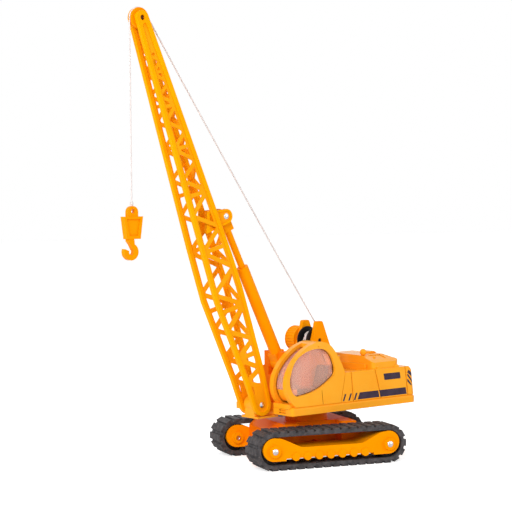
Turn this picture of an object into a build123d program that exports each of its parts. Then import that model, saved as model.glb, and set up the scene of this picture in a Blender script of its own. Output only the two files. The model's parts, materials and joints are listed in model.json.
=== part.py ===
from build123d import *
import os
from math import asin, atan2, cos, degrees, hypot, pi, radians, sin, tan

# Toy crawler crane with a lattice boom, as its moulded, die-cast and riveted pieces. Millimetres.
# World frame: +X forwards along the tracks, +Y to the machine's left, +Z up. The origin is on the
# slew axis at floor level. The superstructure and all that it carries are modelled facing +X
# ("deck frame") and then turned to the rest heading. The boom and the strut are modelled lying
# along +X from their own pivots and then raised.

# ---------------------------------------------------------------- driving dimensions
RUN = 0.08                 # radial clearance of a turning fit
GAP = 0.3                  # side clearance between pieces that move past each other

# tracks: wheels inside a rubber belt, held between the two plates of a frame
WHEEL_X = 39.5             # wheel centres ahead of and behind the slew axis
TRACK_Y = 32.7             # track centre line from the machine's centre line
BELT_R = 12.3              # outside radius of the belt's ends, over the lugs
BELT_T = 3.5               # belt thickness with its lugs
BELT_W = 19.0
LUG_H = 1.3
LUG_GAP = 1.6              # groove between two lugs on a straight run
LUG_COUNT = 38
WHEEL_W = 13.4
PLATE_T = 2.5              # frame plate beside a wheel
FRAME_R = 7.35             # frame's round ends
FRAME_LIFT = 1.0           # frame ends sit this much above the wheel centres
WAIST_TOP = 13.9           # top of the frame between its raised ends
WAIST_X = 21.0             # where the frame's top starts to rise
WAIST_FILLET = 12.0
BOSS_R, BOSS_H = 3.8, 2.0
RIVET_R, RIVET_HEAD_R, RIVET_HEAD_H = 1.2, 1.9, 0.9
ROLLER_R, ROLLER_PITCH, ROLLER_COUNT = 2.6, 7.95, 7
ROLLER_Z, ROLLER_MID_X = 8.3, 1.1
ROLLER_NOTCH = 1.4         # height of the long notch that the rollers hang in
ROLLER_OUT = 0.8           # how far the rollers stand out of the frame

# carbody and slew bearing
BELLY_Z = 5.6
CARBODY_TOP = 25.8
CARBODY_X = 31.0           # half length
SHOULDER_X, SHOULDER_Z = 25.0, 20.6
HUB_Y = 14.0               # half width of the middle block
BEAM_IN = 15.0             # cross beams start here and end at CARBODY_X
RIB_T = 2.0                # gusset ribs between the hub and the tracks
COLLAR_R = 13.8
SPIGOT_R = 4.5
WELL_R, WELL_Z = 6.0, 10.0
SCREW_HEAD_R, SCREW_HEAD_H, SCREW_R, SCREW_L = 5.4, 1.6, 1.3, 12.0

# deck and bodywork
DECK_Z, DECK_T = 32.9, 5.3
DECK_FRONT, DECK_REAR = 36.2, -72.8
DECK_W = 29.0              # half width
SILL_BEVEL = 1.3           # sloped ledge along the top of the sill
REAR_CORNER = 5.0          # rear corners, seen from above
FRONT_CORNER = 2.4
FOOT_SLOT = 10.6           # half width of the gap that the boom swings in
LAMP_TOP = 40.2            # top of the lamp block under the cab's nose
BODY_TOP = 57.0
SLOT_Y, SLOT_W, SLOT_H = 19.3, 6.6, 0.9     # narrow slots in the sill's front
SLOT_ZS = (34.1, 35.7)
LEDGE_Z = 48.0             # floor between the cab and the hood
HOOD_FRONT, HOOD_W, HOOD_TOP = -35.5, 26.0, 65.4
WINCH_BASE_TOP = 66.0
LEAN = 5.1                 # inward lean of the side walls, degrees
SHELL_T = 2.2
GLASS_T = 0.9
ARCH_W = 3.7               # width of each arch beside the windscreen
GLASS_BACK = 3.2           # windscreen glass behind the front of the arches
GROOVE_W, GROOVE_D = 0.9, 0.6
SEAT_W = 7.6

# boom
FOOT_X, FOOT_Z = 42.85, 38.87
BOOM_ANGLE = 70.04
BOOM_L = 255.5
CHEEK_T = 2.9
CHORD_W = 2.6
FLANGE_W, FLANGE_T = 4.9, 1.7    # inward flanges along the chords
BAR_W = 2.3
RECESS = 0.9               # web and cheek panels below the faces of the chords
FOOT_END, TIP_END = 10.5, 22.0   # closed panels at the boom's ends
TONGUE_R, FOOT_R, TIP_R = 5.1, 7.0, 4.4
TONGUE_NOSE = 4.45         # front of the tongue's block ahead of the foot pin
TONGUE_PLATE_Z, TONGUE_PLATE_T = 30.3, 1.2
CROSS_S, CROSS_UP, CROSS_R = 7.5, -3.2, 1.6    # round bar across the boom above the tongue
EAR_S, EAR_UP, EAR_R = 121.6, 17.3, 5.2
EAR_T = 2.4
PIN_R = 1.3
TIP_HOLE_R, TIP_HOLE_DEPTH = 1.6, 1.6
SHEAVE_R, SHEAVE_GROOVE = 6.4, 5.8

# strut that holds the boom up
STRUT_X, STRUT_Z = 22.0, 64.0
BARREL_R, ROD_R = 3.8, 2.15
BARREL_L = 69.5
EYE_R, EYE_HOLE_R, EYE_W = 4.2, 2.7, 4.6
ROD_INSIDE = 40.0

# winch
WINCH_X, WINCH_Z = -5.4, 76.8
CHEEK_MID, WINCH_CHEEK_T = 6.75, 3.0
WINCH_TOP = 89.4
SPOOL_R, SPOOL_CORE_R, SPOOL_RIM_T = 8.6, 4.2, 1.1
AXLE_R = 1.4
KNOB_R, KNOB_W, KNOB_RIBS = 8.4, 9.0, 26

# hook
STRING_R = 0.4
HOOK_DROP = 112.5          # from the sheave's axis down to the top of the hook's eye lug
HOOK_OUT_R, HOOK_IN_R, HOOK_SHIFT = 5.1, 1.8, 1.6

SLEW_AT_REST = 17.5        # heading of the superstructure, degrees to the left

# ---------------------------------------------------------------- helpers


def prism(face, y0, y1):
    """Prism of a sketch drawn in (x, z), between two y planes."""
    return Pos(0, y1, 0) * (Rot(90, 0, 0) * extrude(face, amount=y1 - y0))


def xz(points, y0, y1):
    """Prism of a closed outline given as (x, z) points, between two y planes."""
    return prism(make_face(Polyline(*points, close=True)), y0, y1)


def xy(points, z0, z1):
    """Prism of a closed outline given as (x, y) points, between two heights."""
    face = make_face(Polyline(*points, close=True))
    return Pos(0, 0, z0) * extrude(face, amount=z1 - z0)


def block(x0, x1, y0, y1, z0, z1):
    return Pos((x0 + x1) / 2, (y0 + y1) / 2, (z0 + z1) / 2) * Box(x1 - x0, y1 - y0, z1 - z0)


def rod_y(radius, x, z, y0, y1):
    """Cylinder along Y."""
    return Pos(x, (y0 + y1) / 2, z) * Rot(90, 0, 0) * Cylinder(radius, abs(y1 - y0))


def rod_x(radius, x0, x1):
    """Cylinder along the X axis."""
    return Pos((x0 + x1) / 2, 0, 0) * Rot(0, 90, 0) * Cylinder(radius, x1 - x0)


def mirrored(shape):
    return mirror(shape, about=Plane.XZ)


def both_sides(shape):
    return shape + mirrored(shape)


def bar(p, q, width):
    """Flat bar between two points of a sketch."""
    (x0, z0), (x1, z1) = p, q
    length, angle = hypot(x1 - x0, z1 - z0), degrees(atan2(z1 - z0, x1 - x0))
    return Pos((x0 + x1) / 2, (z0 + z1) / 2) * Rot(0, 0, angle) * Rectangle(length, width)


def rivet(x, z, y_inner, y_outer, shank=RIVET_R, head=RIVET_HEAD_R):
    """Rivet along Y: domed head outside the plane y_outer, rolled hollow tail at y_inner."""
    tail, hollow, tip = 0.8 * head, 0.6 * shank, y_inner - RIVET_HEAD_H
    depth = y_inner - 0.2 * RIVET_HEAD_H
    lip, top = y_outer + 0.3 * RIVET_HEAD_H, y_outer + RIVET_HEAD_H
    radius = (head**2 + (top - lip)**2) / (2 * (top - lip))
    half_turn = asin(head / radius) / 2
    crest = (radius * sin(half_turn), top - radius + radius * cos(half_turn))
    low = Polyline((0, depth), (hollow, depth), (hollow, tip), (tail, tip), (tail, y_inner),
                   (shank, y_inner), (shank, y_outer), (head, y_outer), (head, lip))
    crown = ThreePointArc((head, lip), crest, (0, top))
    return Pos(x, 0, z) * revolve(make_face(low + crown + Line((0, top), (0, depth))), axis=Axis.Y)


# ---------------------------------------------------------------- undercarriage
WHEEL_Z = BELT_R
BELT_IN_R = BELT_R - BELT_T
BAND_R = BELT_R - LUG_H    # outside of the belt's band, under the lugs
FRAME_Z = WHEEL_Z + FRAME_LIFT
FRAME_OUT = WHEEL_W / 2 + GAP + PLATE_T     # frame's outer face from the track's centre line


def slot_face(radius):
    """Stadium round both wheels, drawn in (x, z)."""
    face = Pos(0, WHEEL_Z) * Rectangle(2 * WHEEL_X, 2 * radius)
    for x in (-WHEEL_X, WHEEL_X):
        face += Pos(x, WHEEL_Z) * Circle(radius)
    return face


def lug_place(distance):
    """Centre of curvature and outward direction on the belt, from the middle of its ground run."""
    straight, arc = 2 * WHEEL_X, pi * BAND_R
    distance = (distance + straight / 2) % (2 * (straight + arc))
    if distance < straight:
        return distance - WHEEL_X, -90.0
    if distance < straight + arc:
        return WHEEL_X, -90.0 + 180.0 * (distance - straight) / arc
    if distance < 2 * straight + arc:
        return WHEEL_X - (distance - straight - arc), 90.0
    return -WHEEL_X, 90.0 + 180.0 * (distance - 2 * straight - arc) / arc


def track_belt(side):
    """One closed rubber loop with its flat-topped lugs in its outline."""
    loop = 2 * (2 * WHEEL_X + pi * BAND_R)
    pitch, root = loop / LUG_COUNT, 0.5
    lug = Pos(BAND_R + (LUG_H - root) / 2, 0) * Rectangle(LUG_H + root, pitch - LUG_GAP)
    lugs = []
    for i in range(LUG_COUNT):
        x, angle = lug_place((i + 0.5) * pitch)
        lugs.append(Pos(x, WHEEL_Z) * Rot(0, 0, angle) * lug)
    above_floor = Pos(0, BELT_R + 1) * Rectangle(4 * WHEEL_X, 2 * BELT_R + 2)
    face = (slot_face(BAND_R) + lugs) & above_floor
    y = side * TRACK_Y
    return prism(face - slot_face(BELT_IN_R), y - BELT_W / 2, y + BELT_W / 2)


def track_wheel(side, x):
    """Black wheel that fills the belt's end."""
    y = side * TRACK_Y
    wheel = rod_y(BELT_IN_R, x, WHEEL_Z, y - WHEEL_W / 2, y + WHEEL_W / 2)
    return wheel - rod_y(RIVET_R + RUN, x, WHEEL_Z, y - WHEEL_W, y + WHEEL_W)


def frame_face():
    """Side of a track frame: raised round ends joined by a waist."""
    top, low = FRAME_Z + FRAME_R, FRAME_Z - FRAME_R
    rise = (WAIST_X + 13.0, top - 0.6)
    points = [(-WHEEL_X, low), (WHEEL_X, low), (WHEEL_X, top), rise, (WAIST_X, WAIST_TOP)]
    points += [(-x, z) for x, z in reversed(points[3:])] + [(-WHEEL_X, top)]
    face = make_face(Polyline(*points, close=True))
    bends = [v for v in face.vertices() if abs(v.Y - WAIST_TOP) < 0.01 or abs(v.Y - rise[1]) < 0.01]
    face = fillet(bends, WAIST_FILLET)
    for x in (-WHEEL_X, WHEEL_X):
        face += Pos(x, FRAME_Z) * Circle(FRAME_R)
    return face


def track_frame(side):
    """Moulded frame: two plates with round ends, a waist, bosses and a row of roller bumps."""
    frame = prism(frame_face(), -FRAME_OUT, FRAME_OUT)
    span = (ROLLER_COUNT + 0.6) * ROLLER_PITCH
    low = FRAME_Z - FRAME_R
    notch = (ROLLER_MID_X - span / 2, ROLLER_MID_X + span / 2)
    frame -= block(*notch, -2 * FRAME_OUT, 2 * FRAME_OUT, 0, low + ROLLER_NOTCH)
    for i in range(ROLLER_COUNT):
        x = ROLLER_MID_X + (i - (ROLLER_COUNT - 1) / 2) * ROLLER_PITCH
        frame += rod_y(ROLLER_R, x, ROLLER_Z, FRAME_OUT - PLATE_T, FRAME_OUT + ROLLER_OUT)
    pocket = WHEEL_W / 2 + GAP
    for x in (-WHEEL_X, WHEEL_X):
        frame += rod_y(BOSS_R, x, WHEEL_Z, -FRAME_OUT - BOSS_H, FRAME_OUT + BOSS_H)
        frame -= rod_y(BELT_IN_R + GAP, x, WHEEL_Z, -pocket, pocket)
        frame -= rod_y(RIVET_R, x, WHEEL_Z, -2 * FRAME_OUT, 2 * FRAME_OUT)
    frame = Pos(0, TRACK_Y, 0) * frame
    return frame if side > 0 else mirrored(frame)


def axle_rivet(side, x):
    face = FRAME_OUT + BOSS_H
    pin = rivet(x, WHEEL_Z, TRACK_Y - face, TRACK_Y + face)
    return pin if side > 0 else mirrored(pin)


def carbody():
    """Middle of the undercarriage: hub, two cross beams, gusset ribs and the slew collar."""
    inner = TRACK_Y - FRAME_OUT
    profile = [(-CARBODY_X - 3, BELLY_Z + 5), (-CARBODY_X - 3, BELLY_Z), (CARBODY_X, BELLY_Z)]
    profile += [(CARBODY_X, SHOULDER_Z), (SHOULDER_X, CARBODY_TOP)]
    profile += [(-SHOULDER_X, CARBODY_TOP), (-CARBODY_X, SHOULDER_Z - 5)]
    body = xz(profile, -inner, inner)
    pocket = block(-BEAM_IN, BEAM_IN, HUB_Y, inner + 1, 0, CARBODY_TOP + 1)
    rib = [(-RIB_T / 2, BELLY_Z), (RIB_T / 2, BELLY_Z), (RIB_T / 2, WAIST_TOP), (-RIB_T / 2, WAIST_TOP)]
    pocket -= xz(rib, HUB_Y - 1, inner + 1)
    body -= both_sides(pocket)
    collar = DECK_Z - GAP - BELLY_Z
    body += Pos(0, 0, BELLY_Z + collar / 2) * Cylinder(COLLAR_R, collar)
    web = WELL_Z + SCREW_HEAD_H + GAP
    body -= Pos(0, 0, WELL_Z / 2) * Cylinder(WELL_R, WELL_Z)
    body -= Pos(0, 0, (WELL_Z + web) / 2) * Cylinder(SCREW_HEAD_R + RUN, web - WELL_Z)
    return body - Pos(0, 0, (DECK_Z + web) / 2) * Cylinder(SPIGOT_R + RUN, DECK_Z - web)


def slew_screw():
    """Screw up the slew axis: its flat head retains the carbody, its shank is in the spigot."""
    bottom = WELL_Z + GAP / 2
    head = Pos(0, 0, bottom + SCREW_HEAD_H / 2) * Cylinder(SCREW_HEAD_R, SCREW_HEAD_H)
    top = bottom + SCREW_HEAD_H + SCREW_L
    return head + Pos(0, 0, (bottom + top) / 2) * Cylinder(SCREW_R, top - bottom)


# ---------------------------------------------------------------- deck and bodywork
DECK_TOP = DECK_Z + DECK_T
WALL_W = DECK_W - 0.4      # half width of the side walls at the deck
CAB_IN = FOOT_SLOT + 0.1   # cab's inner side, beside the boom


def wall_at(z, inset=0.0):
    """Half width of the leaning side walls at a height."""
    return WALL_W - inset - (z - DECK_TOP) * tan(radians(LEAN))


def leaning_sides(shape, inset=0.0):
    """Cuts the shape's sides to walls that lean inwards above the deck."""
    big = 2 * (DECK_FRONT - DECK_REAR) + 4 * DECK_W
    for s in (-1, 1):
        wedge = Pos(0, s * big / 2, 0) * Box(big, big, big)
        shape -= Pos(0, s * (WALL_W - inset), DECK_TOP) * Rot(s * LEAN, 0, 0) * wedge
    return shape


def deck_plan(x0, x1, half, rear, front=0.1):
    """Outline from above, with rounded rear corners and smaller front ones."""
    face = Pos((x0 + x1) / 2, 0) * Rectangle(x1 - x0, 2 * half)
    face = fillet(face.vertices().sort_by(Axis.X)[:2], rear)
    return fillet(face.vertices().sort_by(Axis.X)[-2:], front)


def chassis():
    """Deck with its bevelled sill, the boom's tongue and the slew spigot."""
    ledge = SILL_BEVEL / tan(radians(45))
    plan = deck_plan(DECK_REAR, DECK_FRONT, DECK_W, REAR_CORNER, FRONT_CORNER)
    plate = Pos(0, 0, DECK_Z) * extrude(plan, amount=DECK_T - ledge)
    plate += Pos(0, 0, DECK_TOP - ledge) * extrude(plan, amount=ledge, taper=45)
    lamps = block(DECK_FRONT - 4, DECK_FRONT, -DECK_W + 2.6, DECK_W - 2.6, DECK_TOP - 1, LAMP_TOP)
    for y in (-SLOT_Y, SLOT_Y):
        for z in SLOT_ZS:
            plate -= block(DECK_FRONT - 1, DECK_FRONT + 1, y - SLOT_W / 2, y + SLOT_W / 2, z, z + SLOT_H)
    plate += lamps
    slot = block(DECK_FRONT - 5, DECK_FRONT + 1, -FOOT_SLOT, FOOT_SLOT, DECK_Z - 1, DECK_TOP + 9)
    tongue_w = CHEEK_IN_FOOT - GAP
    nose, root = FOOT_X + TONGUE_NOSE, DECK_FRONT - 6
    tongue = block(root, nose, -tongue_w, tongue_w, TONGUE_PLATE_Z, FOOT_Z)
    tongue += block(root, nose, -along(HALF, 0), along(HALF, 0), TONGUE_PLATE_Z,
                    TONGUE_PLATE_Z + TONGUE_PLATE_T)
    tongue += rod_y(TONGUE_R, FOOT_X, FOOT_Z, -tongue_w, tongue_w)
    bottom = WELL_Z + GAP / 2 + SCREW_HEAD_H
    spigot = Pos(0, 0, (bottom + DECK_Z) / 2) * Cylinder(SPIGOT_R, DECK_Z - bottom)
    body = plate - slot + tongue + spigot
    body -= Pos(0, 0, bottom + SCREW_L / 2) * Cylinder(SCREW_R, SCREW_L)
    return body - rod_y(PIN_R + RUN, FOOT_X, FOOT_Z, -tongue_w - 1, tongue_w + 1)


def strut_pedestal():
    """Block behind the boom's foot with two ears for the strut's lower pin."""
    ear_in, front, rear = STRUT_HALF + GAP, STRUT_X + 6, -2
    side, ear_side, step = FOOT_SLOT - 0.2, FOOT_SLOT - 1, STRUT_Z - 2
    body = block(rear, front, -side, side, DECK_TOP, step)
    body += block(rear, STRUT_X - 13, -side, side, step - 1, WINCH_BASE_TOP)
    body += block(STRUT_X - 7, STRUT_X + 5, -ear_side, ear_side, step - 1, STRUT_Z + 7.5)
    body -= block(STRUT_X - 12, STRUT_X + 10, -ear_in, ear_in, STRUT_Z - 7.5, STRUT_Z + 16)
    return body - rod_y(PIN_R, STRUT_X, STRUT_Z, -DECK_W, DECK_W)


# Cab's side profile: each arc's start and middle point in (x, z), clockwise from the nose's foot.
CAB_ARCS = [
    ((32.4, DECK_TOP), (39.3, 50.0)),
    ((37.4, 59.4), (34.2, 64.4)),
    ((29.2, 69.4), (21.2, 74.9)),
    ((12.0, 77.9), (5.2, 77.5)),
    ((-0.6, 74.3), (-4.0, 70.0)),
    ((-6.3, 66.0), (-8.8, 61.3)),
]
CAB_BACK = [(-10.4, 56.5), (-5.1, DECK_TOP)]     # straight rear edge below the last arc
# Side window, in the same way.
WINDOW_ARCS = [
    ((35.4, 49.2), (36.3, 53.8)),
    ((34.7, 59.6), (30.9, 66.4)),
    ((24.5, 70.9), (15.6, 73.5)),
    ((7.0, 73.3), (1.4, 69.6)),
    ((-1.4, 63.4), (-1.9, 58.3)),
    ((1.4, 54.4), (14.0, 48.1)),
    ((28.0, 45.3), (33.2, 46.0)),
]


def arc_loop(arcs, tail=()):
    """Closed face from a table of arcs, and of straight lines through the tail's points."""
    starts = [start for start, _ in arcs] + [(tail or arcs[0])[0]]
    wires = ThreePointArc(starts[0], arcs[0][1], starts[1])
    for i, (_, middle) in enumerate(arcs[1:], 1):
        wires += ThreePointArc(starts[i], middle, starts[i + 1])
    return make_face(wires + Polyline(*tail, starts[0]) if tail else wires)


def cab_face(inset=0.0):
    face = arc_loop(CAB_ARCS, CAB_BACK)
    return offset(face, -inset, kind=Kind.INTERSECTION) if inset else face


def cab_block(inset):
    """Solid block of the cab's outer form, shrunk by an inset."""
    return leaning_sides(prism(cab_face(inset), CAB_IN + inset, DECK_W), inset)


def windscreen_cut():
    """Space between the two arches, from the nose up over the brow."""
    space = block(16.0, 60.0, CAB_IN + ARCH_W, DECK_W, LAMP_TOP, 100.0)
    return leaning_sides(space, ARCH_W)


def cab_shell():
    """Bodywork of the cab: hollow, open below, with its windows cut."""
    body = cab_block(0) - cab_block(SHELL_T)
    body -= block(-1.5, 31.0, CAB_IN + SHELL_T, WALL_W - SHELL_T, DECK_TOP - 1, DECK_TOP + 4)
    body -= prism(arc_loop(WINDOW_ARCS), wall_at(BODY_TOP) - 6, DECK_W + 1)
    body -= block(-20, -2, CAB_IN + 3.5, wall_at(BODY_TOP) - 3, 61.5, 71.0)
    body -= block(DECK_FRONT - 5, DECK_FRONT + 5, CAB_IN - 1, DECK_W - 2.6, DECK_TOP - 1, LAMP_TOP)
    screen = windscreen_cut()
    body -= screen
    sill = cab_block(GLASS_BACK) - cab_block(GLASS_BACK + SHELL_T)
    body += sill & screen & block(28, 60, 0, DECK_W, 0, BODY_TOP - 8)
    door = bar((10.0, DECK_TOP + 0.4), (10.3, 47.6), GROOVE_W / 2)
    body -= prism(door, WALL_W - 1, WALL_W + 1) - leaning_sides(block(0, 20, 0, 40, 30, 60), GROOVE_D / 2)
    return body - rod_y(0.4, 10.9, 74.9, 24, DECK_W)


def cab_glazing():
    """Clear moulding behind the side window and the windscreen."""
    inset = GLASS_BACK + 0.02
    glass = cab_block(inset) - cab_block(inset + GLASS_T)
    side = cab_block(SHELL_T) - cab_block(SHELL_T + GLASS_T)
    wing = side & block(-1.2, 33, wall_at(DECK_TOP) - 8, DECK_W, 45, 100)
    screen = glass & block(16.5, 60, CAB_IN + ARCH_W - 1.0, DECK_W - 5.2, BODY_TOP - 7.9, 100)
    return wing + screen


def cab_seat():
    mid = CAB_IN + (wall_at(BODY_TOP) - CAB_IN) / 2
    y0, y1 = mid - SEAT_W / 2, mid + SEAT_W / 2
    seat = block(3.0, 15.0, y0, y1, DECK_TOP, 49.0)
    return seat + xz([(3.0, 45.0), (8.0, 45.0), (3.8, 62.0), (0.2, 62.0)], y0, y1)


def cab_console():
    mid = CAB_IN + (wall_at(BODY_TOP) - CAB_IN) / 2
    low = [(20.0, DECK_TOP), (27.5, DECK_TOP), (27.5, 48.0), (25.0, 51.5), (20.0, 50.0)]
    return xz(low, mid - SEAT_W / 2, mid + SEAT_W / 2)


def wall_grooves(lines):
    """Panel lines in both leaning side walls, each from a low to a high (x, z) point."""
    face = [bar(low, high, GROOVE_W) for low, high in lines]
    slabs = prism(Sketch() + face, -DECK_W - 1, DECK_W + 1)
    return slabs - leaning_sides(block(-90, 60, -DECK_W, DECK_W, 0, 90), GROOVE_D)


def engine_housing():
    """Side walls, rear and low top of the bodywork behind the cab, with grooves between panels."""
    rear = DECK_REAR + 0.4
    outline = [(-5.6, DECK_TOP), (-10.9, BODY_TOP), (-67.0, BODY_TOP), (-69.6, 54.4)]
    outline += [(-71.3, 48.2), (rear, DECK_TOP + 3), (rear, DECK_TOP)]
    plan = deck_plan(rear, 60, WALL_W, REAR_CORNER - 0.4)
    body = Pos(0, 0, DECK_TOP) * extrude(plan, amount=30, taper=LEAN)
    body &= xz(outline, -DECK_W, DECK_W)
    body -= block(HOOD_FRONT, 30, -16, 20.5, LEDGE_Z, 100)
    body -= block(-15, 30, -DECK_W - 1, FOOT_SLOT, DECK_TOP - 1, 100)
    lines = [((-15.9, DECK_TOP), (-15.5, 70)), ((-40.4, DECK_TOP), (-36.6, BODY_TOP))]
    lines += [((-64.7, DECK_TOP), (-63.7, BODY_TOP))]
    return body - wall_grooves(lines)


def right_side_box():
    """Low machinery box on the right, ahead of the engine housing."""
    outline = [(-15, DECK_TOP), (DECK_FRONT - 5, DECK_TOP), (DECK_FRONT - 7, LEDGE_Z - 3)]
    outline += [(DECK_FRONT - 10, LEDGE_Z), (-15, LEDGE_Z)]
    body = leaning_sides(xz(outline, -DECK_W, -FOOT_SLOT))
    return body - wall_grooves([((5, DECK_TOP), (5, LEDGE_Z))])


def hood_section(inset=0.0):
    """Half of the hood's cross section in (y, z), seen from the front."""
    w, low = HOOD_W - inset, BODY_TOP
    return [(0, low), (w, low), (w, 61.3 - inset), (w - 3.5, 62.8 - inset), (14, HOOD_TOP - inset)]


def engine_hood():
    """Raised hood: sloping shoulders with vent recesses, a rounded rear and four edge clips."""
    outline = Polyline((-50.0, HOOD_TOP), (HOOD_FRONT, HOOD_TOP), (HOOD_FRONT, BODY_TOP),
                       (-61.6, BODY_TOP), (-61.5, 59.0))
    tail = ThreePointArc((-61.5, 59.0), (-58.4, 63.3), (-50.0, HOOD_TOP))
    half = hood_section()
    section = half[1:] + [(-y, z) for y, z in reversed(half[1:])]
    face = Plane.YZ * make_face(Polyline(*section, close=True))
    hood = prism(make_face(outline + tail), -HOOD_W, HOOD_W)
    hood &= Pos(-80, 0, 0) * extrude(face, amount=80)
    plan = deck_plan(-61.6, HOOD_FRONT, HOOD_W, 7.0, 2.5)
    hood &= Pos(0, 0, BODY_TOP) * extrude(plan, amount=20)
    slope = degrees(atan2(HOOD_TOP - 62.8, HOOD_W - 3.5 - 14))
    shoulder = Pos(0, (14 + HOOD_W - 3.5) / 2, (HOOD_TOP + 62.8) / 2) * Rot(-slope, 0, 0)
    vent = shoulder * (block(-52, -41, -3.4, 3.4, -0.5, 2) + block(-59, -54, -3.4, 3.4, -0.35, 2))
    stud = shoulder * Pos(-43.5, 0.6, 0) * Cylinder(0.9, 1.4)
    hood = hood - both_sides(vent) + both_sides(stud)
    for x in (-41.0, -56.5):
        clip = rod_y(2.2, x, BODY_TOP - 0.3, HOOD_W - 1, HOOD_W + 0.6) & block(-99, 0, 0, 40, BODY_TOP, 99)
        hood += both_sides(clip)
    return hood


def hood_spine():
    """Block that the winch stands on, and the low floor that joins it to the hood."""
    tower = block(-21.0, -2.1, -13.5, FOOT_SLOT - 0.2, LEDGE_Z, WINCH_BASE_TOP)
    steps = block(HOOD_FRONT, -21.0, -15.9, 20.4, LEDGE_Z, BODY_TOP - 1.2)
    return tower + steps + block(HOOD_FRONT, HOOD_FRONT + 2.0, -15.9, 20.4, LEDGE_Z, 60.2)


def hood_knob():
    """Ball on a short neck, on the hood's left shoulder."""
    ball = Pos(-38.0, 14.0, HOOD_TOP + 1.9) * Sphere(2.25)
    neck = Pos(-38.0, 14.0, HOOD_TOP) * Cylinder(1.2, 1.6)
    return (ball + neck) - block(-60, -30, -30, 30, 0, HOOD_TOP)


def hood_scoop():
    """Low curved lip behind the ball."""
    x0, x1, rise = -55.7, -48.0, 1.5
    top = ThreePointArc((x0, HOOD_TOP), ((x0 + x1) / 2 + 1.2, HOOD_TOP + rise), (x1, HOOD_TOP + 1.0))
    face = make_face(top + Polyline((x1, HOOD_TOP + 1.0), (x1, HOOD_TOP), (x0, HOOD_TOP)))
    return prism(face, 2.0, 8.5)


def winch_frame():
    """Two tapering cheeks on a common base."""
    base = WINCH_BASE_TOP
    front = ThreePointArc((-2.4, WINCH_TOP - 0.8), (-1.1, 82.9), (5.5, base))
    rest = Polyline((5.5, base), (-17.2, base), (-8.0, WINCH_TOP - 0.7), (-7.3, WINCH_TOP),
                    (-3.3, WINCH_TOP), (-2.4, WINCH_TOP - 0.8))
    cheek = prism(make_face(front + rest), CHEEK_MID - WINCH_CHEEK_T / 2, CHEEK_MID + WINCH_CHEEK_T / 2)
    body = both_sides(cheek) + block(-17.2, -2.1, -CHEEK_MID, CHEEK_MID, base, base + 1.0)
    return body - rod_y(AXLE_R + RUN, WINCH_X, WINCH_Z, -20, 20)


# ---------------------------------------------------------------- boom
# Shares of the boom's length, with the front chord below the pin line, the rear chord above it
# and the half width, in millimetres.
FRONT = [(0.0, 6.8), (0.078, 7.4), (0.294, 11.6), (0.431, 10.4), (1.0, 4.1)]
REAR = [(0.0, 7.3), (0.078, 8.9), (0.305, 11.3), (0.391, 10.8), (1.0, 3.6)]
HALF = [(-0.08, 8.1), (0.39, 8.3), (1.03, 4.9)]
# Where the zigzag web bars meet the chords, rear and front chord in turn; each third also has a
# straight strut.
WEB = [0.050, 0.073, 0.098, 0.137, 0.173, 0.220, 0.263, 0.314, 0.361, 0.420, 0.467, 0.510, 0.557,
       0.604, 0.639, 0.682, 0.716, 0.749, 0.780, 0.812, 0.835, 0.867, 0.890, 0.914]
LACE = [0.10, 0.16, 0.25, 0.285, 0.375, 0.41, 0.50, 0.535, 0.62, 0.655, 0.735, 0.77, 0.85, 0.88]


def along(table, s):
    """Straight-line value from a table of (share of the boom's length, value)."""
    share = s / BOOM_L
    for (s0, v0), (s1, v1) in zip(table, table[1:]):
        if share <= s1:
            return v0 + (v1 - v0) * (share - s0) / (s1 - s0)
    return table[-1][1]


CHEEK_IN_FOOT = along(HALF, 0) - CHEEK_T
CHEEK_IN_TIP = along(HALF, BOOM_L) - CHEEK_T


def boom_outline():
    front = [(s * BOOM_L, -v) for s, v in FRONT]
    rear = [(s * BOOM_L, v) for s, v in reversed(REAR)]
    face = make_face(Polyline(*front, *rear, close=True))
    return face + Circle(FOOT_R) + Pos(BOOM_L, 0) * Circle(TIP_R)


def side_wall(outer, inner):
    """Plan prism of one side wall: between two offsets inside the boom's half width."""
    near = [(s * BOOM_L, v - outer) for s, v in HALF]
    far = [(s * BOOM_L, v - inner) for s, v in reversed(HALF)]
    return xy(near + far, -40, 40)


def truss_face():
    """Web of one side: zigzag bars and struts between the chords."""
    stations = [share * BOOM_L for share in WEB]
    bars = []
    for i, (s, s_next) in enumerate(zip(stations, stations[1:])):
        rear, front = (s, along(REAR, s)), (s_next, -along(FRONT, s_next))
        if i % 2:
            rear, front = (s_next, along(REAR, s_next)), (s, -along(FRONT, s))
        bars.append(bar(rear, front, BAR_W))
        if i % 3 == 0 and i:
            bars.append(bar((s, -along(FRONT, s)), (s, along(REAR, s)), BAR_W))
    return Sketch() + bars


def lacing():
    """Outlines from above of the slanted plates that close one half between its flanges."""
    plates = []
    for s0, s1 in zip(LACE[0::2], LACE[1::2]):
        s0, s1 = s0 * BOOM_L, s1 * BOOM_L
        plates.append([(s0, 0), (s1, 0), (s1 + 4, 9), (s0 - 4, 9)])
    return plates


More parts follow.
